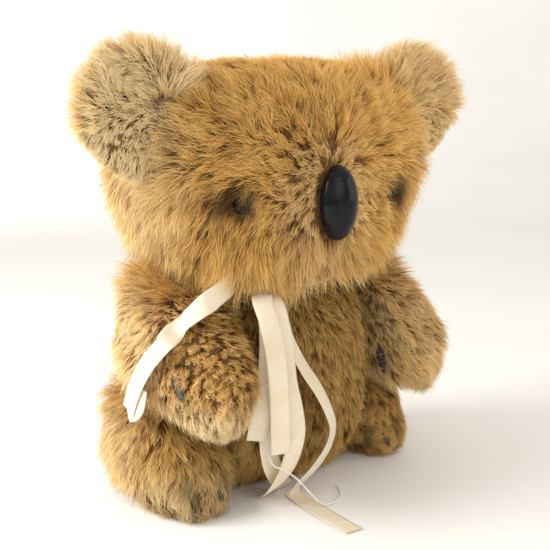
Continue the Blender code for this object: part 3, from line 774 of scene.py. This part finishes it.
def head_style(coat):
    """Radiates from the bridge of the nose, sweeps back over the crown and hangs at the cheeks."""
    x, y, z = coat.x, coat.y, coat.z
    wide = np.abs(x)
    front = smooth(-0.014, -0.042, y)
    crown = smooth(0.30, 0.90, coat.n[:, 2])
    cheek = smooth(0.032, 0.075, wide) * smooth(0.215, 0.172, z)
    chin = smooth(0.160, 0.136, z)
    out = unit(np.stack((x, np.zeros_like(x), z - NOSE.z - 0.012), axis=1))
    back = np.stack((0.35 * np.sign(x), 0.1 + 1.0 * crown, 0.35 * crown - (1.0 - crown)), axis=1)
    coat.flow = front[:, None] * out + (1 - front)[:, None] * back
    coat.flow[:, 2] -= 1.2 * cheek + 0.8 * chin
    from_nose = np.hypot(x, z - NOSE.z)
    coat.length = 0.0055 + 0.0090 * smooth(0.014, 0.055, from_nose)
    coat.length += 0.0020 * cheek + 0.0045 * chin - 0.0025 * crown
    coat.length += 0.0045 * chin * front * smooth(0.034, 0.018, np.abs(x + 0.034))
    corner = smooth(0.055, 0.080, wide) * smooth(0.165, 0.185, z)
    out_at_corner = np.stack((np.sign(x), np.zeros_like(x), (z - 0.200) * 22.0), axis=1)
    coat.flow = coat.flow * (1.0 - corner)[:, None] + out_at_corner * corner[:, None]
    below_ear = smooth(0.172, 0.150, z) * smooth(0.055, 0.082, wide)
    coat.length += np.where(x > 0.0, 0.0065, 0.0030) * corner - 0.0075 * below_ear
    peak = smooth(0.040, 0.066, wide) * crown * np.where(x > 0.0, 1.0, 0.3)
    coat.length += 0.0090 * peak
    coat.flow[:, 2] += 1.5 * peak
    low_back = smooth(0.172, 0.150, z) * smooth(-0.040, -0.015, y)
    coat.length += 0.0030 * low_back
    under = smooth(-0.10, -0.60, coat.n[:, 2])
    coat.length += 0.0060 * under
    coat.rise = 0.78 - 0.18 * smooth(0.030, 0.012, from_nose) + 0.15 * low_back + 0.25 * under
    coat.lay = 0.14 + 0.10 * low_back + 0.85 * under
    coat.rise += 0.20 * corner + 0.25 * peak
    coat.lay += 0.25 * corner + 0.55 * peak
    coat.flow[:, 1] -= 0.6 * under * front
    coat.flow[:, 0] += 0.4 * under * np.sign(x) * smooth(0.030, 0.060, wide)
    coat.pale = 0.45 * smooth(0.062, 0.092, wide) + 0.22 * front * smooth(0.150, 0.130, z)
    coat.pale += 0.28 * front * smooth(0.040, 0.020, from_nose)
    rim = np.hypot(x / NOSE_HALF.x, (z - NOSE.z) / NOSE_HALF.z)
    coat.length[(rim < 0.98) & (y < -0.03)] = 0.0
    for eye in EYES.values():
        gap = np.hypot(x - eye.x, z - eye.z) + smooth(-0.02, 0.0, y)
        shadow = smooth(0.0115, 0.0060, np.hypot((x - eye.x) / 1.25, z - eye.z - 0.0040))
        coat.dark = np.maximum(coat.dark, 0.88 * shadow * (y < -0.02))
        brow = smooth(0.017, 0.009, gap) * (z > eye.z - 0.002)
        coat.flow += (2.5 * brow)[:, None] * np.array((0.45 * math.copysign(1.0, eye.x), 0.0, -1.0))
        coat.length = coat.length * (1.0 - brow) + 0.0135 * brow
        coat.rise += 0.16 * brow
        below = smooth(0.012, 0.007, gap) * (1.0 - brow)
        coat.length *= 1.0 - 0.45 * below
        coat.length[gap < 0.0046] = 0.0


def torso_style(coat):
    """Lies down all over, and is shorter in front, where the ribbons hang; painted shade darkens the front.
    """
    down = -np.ones_like(coat.x)
    coat.flow = np.stack((0.15 * np.sign(coat.x), 0.1 * down, down), axis=1)
    coat.length[:] = 0.0130
    coat.rise[:] = 0.70
    front = smooth(-0.015, -0.035, coat.y)
    coat.length -= 0.0045 * front
    # Painted shade: the front, between the limbs and behind the ribbons, is darkened for the shadow there.
    coat.dark = 0.38 * front
    for name in RIBBONS:
        press(coat, name, 0.016, 0.35)
    coat.length[coat.z < 0.0015] = 0.0


def arm_style(side):
    """Long and smooth on the shoulder, then woolly on the right paw and shaggy on the left."""
    woolly = side < 0

    def style(coat):
        paw = smooth(-0.018, -0.050, coat.y)
        sideways = 0.30 * side * np.ones_like(paw)
        coat.flow = np.stack((sideways, 0.30 - 1.1 * paw, -1.0 + 0.35 * paw), axis=1)
        short = 0.0075 if woolly else 0.0125
        coat.length = 0.0135 + (short - 0.0135) * paw
        coat.rise = 0.80 + (0.30 if woolly else 0.0) * paw
        coat.lay = 0.14 + (0.35 if woolly else 0.10) * paw
        coat.curl = 0.08 + (0.34 if woolly else 0.10) * paw
        under = smooth(0.074, 0.056, coat.z) * paw
        coat.length += 0.0035 * under
        coat.flow[:, 2] -= 0.8 * under
        coat.pale = 0.10 + (0.80 * smooth(0.080, 0.060, coat.z) if woolly else 0.35) * paw
        top = smooth(0.30, 0.85, coat.n[:, 2]) * (1.0 - paw)
        coat.rise += 0.35 * top
        outer = smooth(0.070, 0.086, side * coat.x) * (1.0 - paw)
        coat.length += (0.0085 - 0.0085 * outer) * top
        coat.lay += 0.45 * top
        low = smooth(-0.035, -0.005, coat.y) * smooth(0.104, 0.086, coat.z)
        coat.length += 0.0085 * low - 0.0030 * outer * (1.0 - low)
        coat.rise += 0.10 * low
        coat.lay += 0.32 * low
        coat.pale += 0.40 * outer
        # Painted shade: the inner side of the arm, which faces the body, is darkened.
        inner = smooth(0.058, 0.050, side * coat.x)
        coat.length *= 1.0 - 0.45 * inner * paw
        coat.dark = 0.30 * inner
        if woolly:
            press(coat, "ribbon_strip_over_arm", 0.012, 0.50)
    return style


def leg_style(side):
    """Long locks that fan over the right foot, and a short brown coat on the left."""
    shaggy = side < 0

    def style(coat):
        foot = smooth(0.004, -0.026, coat.y)
        spread = (coat.x - side * 0.0665) / 0.025
        sideways = 0.9 * spread * foot + 0.25 * side * (1 - foot)
        coat.flow = np.stack((sideways, 0.25 - 1.2 * foot, -1.0 + 0.35 * foot), axis=1)
        coat.length = 0.0135 + (0.0015 if shaggy else -0.0045) * foot
        outer = smooth(0.075, 0.088, side * coat.x) * (1.0 - foot)
        coat.length += 0.0025 * outer
        coat.rise = 0.85 - 0.15 * foot + 0.10 * outer
        coat.lay += 0.12 * outer
        lap = smooth(0.25, 0.85, coat.n[:, 2]) * (1.0 - foot)
        coat.length += 0.0060 * lap
        coat.rise += 0.25 * lap
        coat.lay += 0.50 * lap
        coat.clump[:] = 0.85 if shaggy else 0.6
        coat.curl = 0.08 + (0.05 if shaggy else 0.25) * foot
        coat.pale = (0.55 if shaggy else 0.10) * foot * smooth(0.040, 0.012, coat.z) + 0.40 * outer
        coat.dark = 0.06 + (0.10 if shaggy else 0.14) * foot
        # Painted shade in two grooves between the toes.
        for toe in (-0.45, 0.30):
            groove = smooth(0.16, 0.05, np.abs(spread - toe)) * foot * smooth(0.034, 0.022, coat.z)
            coat.dark = np.maximum(coat.dark, 0.65 * groove)
        coat.length[coat.z < 0.0012] = 0.0
    return style


def ear_style(side):
    """Fans out from the ear's root, longest round the edge, with painted shade in a crease in front."""
    low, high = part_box(f"ear_{'left' if side > 0 else 'right'}")
    centre, half = (Vector(low) + Vector(high)) / 2, (Vector(high) - Vector(low)) / 2

    def style(coat):
        across, up = side * (coat.x - centre.x), coat.z - centre.z
        coat.flow = unit(np.stack((side * (across + 0.020), np.zeros_like(across), up + 0.010), axis=1))
        edge = smooth(0.40, 0.95, np.hypot(across / half.x, up / half.z))
        coat.flow[:, 2] -= 0.9 * smooth(0.004, -0.012, up)
        low = smooth(0.003, -0.014, up) * smooth(-0.012, 0.004, across)
        coat.length = 0.0105 + 0.0055 * edge - 0.0095 * low
        coat.rise = 0.60 + 0.35 * edge
        coat.lay = 0.12 + 0.20 * edge - 0.25 * low
        coat.pale = (0.50 if side > 0 else 0.85) + 0.15 * edge * smooth(-0.015, 0.010, across)
        crease = np.hypot((across + 0.014) / 0.013, (up - 0.003) / 0.0045)
        # Painted shade in the crease in front of the ear.
        coat.dark = 0.55 * smooth(1.1, 0.6, crease) * (coat.y < centre.y)
        coat.length *= 1.0 - 0.35 * smooth(1.2, 0.5, crease)
    return style


def make_fur(skins):
    head, torso = skins["head"], skins["torso"]
    limbs = [skins[name] for name in ("arm_left", "arm_right", "leg_left", "leg_right")]
    grow("head_fur", "head", head, HEAD_DENSITY, head_style, 1, [torso])
    grow("torso_fur", "torso", torso, BODY_DENSITY, torso_style, 3, limbs)
    for label, side in SIDES:
        arm, leg = skins["arm_" + label], skins["leg_" + label]
        grow(f"arm_{label}_fur", "arm_" + label, arm, BODY_DENSITY, arm_style(side), 4, [torso, leg])
        grow(f"leg_{label}_fur", "leg_" + label, leg, BODY_DENSITY, leg_style(side), 5, [torso])
        grow(f"ear_{label}_fur", "head", skins["ear_" + label], EAR_DENSITY, ear_style(side), 6, [head])


# ---- nose, eyes and claws ----

def make_dome(name, node_name, body, centre, half):
    """A moulded dome: a finely cut ellipsoid whose back is flat."""
    bm = bmesh.new()
    bmesh.ops.create_uvsphere(bm, u_segments=64, v_segments=40, radius=1.0)
    for vert in bm.verts:
        vert.co = centre + half * Vector((vert.co.x, min(vert.co.y, 0.0), vert.co.z))
    bmesh.ops.remove_doubles(bm, verts=bm.verts, dist=1e-6)
    mesh = bpy.data.meshes.new(name)
    bm.to_mesh(mesh)
    bm.free()
    mesh.shade_smooth()
    dome = link(bpy.data.objects.new(name, mesh))
    mesh.materials.append(MATERIALS["black_plastic"])
    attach(dome, body)
    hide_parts(node_name)


def smooth_copy(name, node_name, body, material):
    """A finer, rounder piece that takes a small CAD solid's place."""
    mesh = frame["nodes"][node_name].data.copy()
    mesh.name = name
    mesh.materials.clear()
    mesh.materials.append(MATERIALS[material])
    mesh.shade_smooth()
    piece = link(bpy.data.objects.new(name, mesh))
    rounder = piece.modifiers.new("rounder", "SUBSURF")
    rounder.levels = rounder.render_levels = 2
    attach(piece, body)
    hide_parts(node_name)


# ---- ribbons ----

def make_band():
    """The ribbon rolled round the neck in its groove, and the knot in front."""
    ring_steps, section_steps = 220, 18
    turn = np.linspace(0.0, math.tau, ring_steps, endpoint=False)[:, None]
    section = np.linspace(0.0, math.tau, section_steps, endpoint=False)[None]
    pleats = 1.0 + 0.16 * np.cos(5 * section + 34 * turn)
    reach = BAND_RADIUS + BAND_HALF * pleats * np.cos(section)
    band = np.stack((reach * np.cos(turn), reach * np.sin(turn),
                     BAND_HALF * pleats * np.sin(section)), axis=-1)
    band += np.array(BAND_CENTRE)
    knot_rows = 28
    down = np.linspace(0.0, math.pi, knot_rows)[:, None]
    folds = 1.0 + 0.09 * np.cos(4 * section + 3 * down) + 0.10 * np.cos(2 * down) ** 2
    knot = np.stack((np.sin(down) * np.cos(section) * folds, np.sin(down) * np.sin(section) * folds,
                     np.cos(down) * np.ones_like(section)), axis=-1)
    knot = np.array(KNOT_CENTRE) + knot * np.array(KNOT_HALF)

    def quads(rows, closed, start):
        a = np.arange(rows if closed else rows - 1)[:, None]
        b = np.arange(section_steps)[None]
        after_a, after_b = (a + 1) % rows, (b + 1) % section_steps
        corners = (a * section_steps + b, after_a * section_steps + b,
                   after_a * section_steps + after_b, a * section_steps + after_b)
        return np.stack(corners, axis=-1).reshape(-1, 4) + start

    places = np.concatenate((band.reshape(-1, 3), knot.reshape(-1, 3)))
    faces = np.concatenate((quads(ring_steps, True, 0), quads(knot_rows, False, ring_steps * section_steps)))
    mesh = mesh_from("ribbon_neck_band", places, faces)
    bm = bmesh.new()
    bm.from_mesh(mesh)
    bmesh.ops.remove_doubles(bm, verts=bm.verts, dist=1e-6)
    bmesh.ops.recalc_face_normals(bm, faces=bm.faces)
    cloth_area = 0.5 * sum(face.calc_area() for face in bm.faces)
    bm.to_mesh(mesh)
    bm.free()
    mesh.uv_layers.new(name="strip")
    mesh.materials.append(MATERIALS["satin"])
    piece = link(bpy.data.objects.new("ribbon_neck_band", mesh))
    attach(piece, "torso")
    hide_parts("ribbon_collar")


def ribbon(name, stations, rows, replaced, bodies, held, rests_on, cup=0.06, gathered=True):
    """A satin strip through stations of a place and a direction across, cupped a little.
    A gathered strip starts at half its width, where the knot holds it."""
    places = spline([place for place, _ in stations], rows)
    across = spline([unit(np.array(direction, float)) for _, direction in stations], rows)
    run = unit(np.gradient(places, axis=0))
    across = unit(across - dot(across, run) * run)
    lift = np.cross(run, across)
    steps = np.linalg.norm(np.diff(places, axis=0), axis=1)
    reached = np.concatenate(((0.0,), np.cumsum(steps)))
    spread = 1.0 - (0.5 * smooth(GATHER_LENGTH, 0.0, reached) if gathered else 0.0 * reached)
    columns = 9
    u = np.linspace(-1.0, 1.0, columns)
    grid = (places[:, None] + across[:, None] * (spread[:, None] * u * RIBBON_WIDTH / 2)[:, :, None]
            + lift[:, None] * ((1 - u * u) * cup * RIBBON_WIDTH / 2)[None, :, None])
    grid[:, :, 2] = np.maximum(grid[:, :, 2], FLOOR_CLEARANCE + RIBBON_THICK / 2)
    index = np.arange(rows * columns).reshape(rows, columns)
    faces = np.stack((index[:-1, :-1], index[:-1, 1:], index[1:, 1:], index[1:, :-1]), axis=-1).reshape(-1, 4)
    mesh = mesh_from(name, grid.reshape(-1, 3), faces)
    uv = mesh.uv_layers.new(name="strip")
    texels = np.stack(np.meshgrid((u + 1) / 2, reached / RIBBON_WIDTH), axis=-1).reshape(-1, 2)
    uv.data.foreach_set("uv", texels[faces.ravel()].astype(np.float32).ravel())
    strip = link(bpy.data.objects.new(name, mesh))
    thickness = strip.modifiers.new("thickness", "SOLIDIFY")
    thickness.thickness = RIBBON_THICK
    thickness.offset = 0.0
    mesh.materials.append(MATERIALS["satin"])
    if len(bodies) == 1:
        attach(strip, bodies[0])
    else:
        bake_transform(strip)
    for node_name in replaced:
        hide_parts(node_name)


def make_ribbons():
    make_band()
    for name, settings in RIBBONS.items():
        ribbon(name, **settings)


# ---- the room ----

FLOOR_RADIUS = 2.2
SWEEP_RADIUS = 1.6
SWEEP_STEPS = 24
WORLD_LIGHT = 0.80


def make_backdrop():
    """A round pale floor that sweeps up into a wall all the way round."""
    bm = bmesh.new()
    profile = [bm.verts.new((0.0, 0.0, 0.0)), bm.verts.new((FLOOR_RADIUS, 0.0, 0.0))]
    for step in range(1, SWEEP_STEPS + 1):
        angle = math.pi / 2 * step / SWEEP_STEPS
        reach = FLOOR_RADIUS + SWEEP_RADIUS * math.sin(angle)
        profile.append(bm.verts.new((reach, 0.0, SWEEP_RADIUS * (1.0 - math.cos(angle)))))
    for first, second in zip(profile, profile[1:]):
        bm.edges.new((first, second))
    bmesh.ops.spin(bm, geom=bm.verts[:] + bm.edges[:], cent=(0, 0, 0), axis=(0, 0, 1), angle=math.tau,
                   steps=96, use_merge=True)
    bmesh.ops.remove_doubles(bm, verts=bm.verts, dist=1e-5)
    bmesh.ops.recalc_face_normals(bm, faces=bm.faces)
    mesh = bpy.data.meshes.new("floor")
    bm.to_mesh(mesh)
    bm.free()
    mesh.shade_smooth()
    mesh.materials.append(MATERIALS["floor"])
    link(bpy.data.objects.new("floor", mesh))


def make_light(name, place, target, size, power, colour):
    data = bpy.data.lights.new(name, "AREA")
    data.energy = power
    data.color = colour
    data.size = size
    light = link(bpy.data.objects.new(name, data))
    light.location = place
    aim = target - Vector(place)
    light.rotation_euler = aim.to_track_quat("-Z", "Y").to_euler()


def make_stage():
    make_backdrop()
    centre = Vector((0.0, -0.02, 0.11))
    make_light("window", (-0.75, 0.30, 0.50), centre, 0.45, 9.0, (0.94, 0.98, 1.0))
    make_light("fill", (-0.35, -1.0, 0.75), centre, 0.9, 3.0, (1.0, 0.96, 0.90))
    make_light("wall", (-0.6, 1.7, 1.3), Vector((0.5, 3.6, 0.7)), 1.2, 52.0, (0.94, 0.985, 1.0))
    make_light("bounce", (0.85, -0.75, 0.45), centre, 0.7, 1.8, (1.0, 0.88, 0.70))
    world = bpy.data.worlds.new("room")
    world.use_nodes = True
    world.node_tree.nodes["Background"].inputs["Color"].default_value = (1.0, 0.960, 0.910, 1.0)
    world.node_tree.nodes["Background"].inputs["Strength"].default_value = WORLD_LIGHT
    bpy.context.scene.world = world
    bpy.context.scene.view_settings.view_transform = "Standard"


def dress_cad_nodes():
    """Procedural materials for the CAD nodes that stay."""
    slots = {entry["node"]: entry["material_slot"] for entry in frame["record"]["subparts"]}
    for name, thing in frame["nodes"].items():
        slot = slots[name]
        material = MATERIALS["hide" if slot == "fur" else slot]
        for holder in thing.material_slots:
            holder.material = material


MATERIALS = {
    "fur": fur_material(),
    "hide": hide_material(),
    "wadding": wadding_material(),
    "hardboard": hardboard_material(),
    "steel": steel_material(),
    "black_plastic": plastic_material(),
    "leather": leather_material(),
    "satin": satin_material(),
    "thread": thread_material(),
    "floor": floor_material(),
}
make_camera()
make_thread()
make_stage()
dress_cad_nodes()
SKINS = {
    "torso": make_hide("torso_skin", "torso_hide", "torso"),
    "head": make_hide("head_skin", "head_hide", "head"),
}
for label, side in SIDES:
    for limb in ("arm", "leg"):
        limb_name = f"{limb}_{label}"
        SKINS[limb_name] = make_hide(f"{limb_name}_skin", f"{limb_name}_hide", limb_name)
    SKINS[f"ear_{label}"] = make_hide(f"ear_{label}_skin", f"ear_{label}", "head")
make_fur(SKINS)
make_dome("nose_moulding", "nose", "head", NOSE, NOSE_HALF)
for label, _ in SIDES:
    smooth_copy(f"eye_dome_{label}", f"eye_{label}", "head", "black_plastic")
    for end, limb in (("paw", "arm"), ("foot", "leg")):
        for where in ("outer", "inner"):
            node_name = f"claw_{end}_{label}_{where}"
            smooth_copy(f"leather_{node_name}", node_name, f"{limb}_{label}", "leather")
make_ribbons()
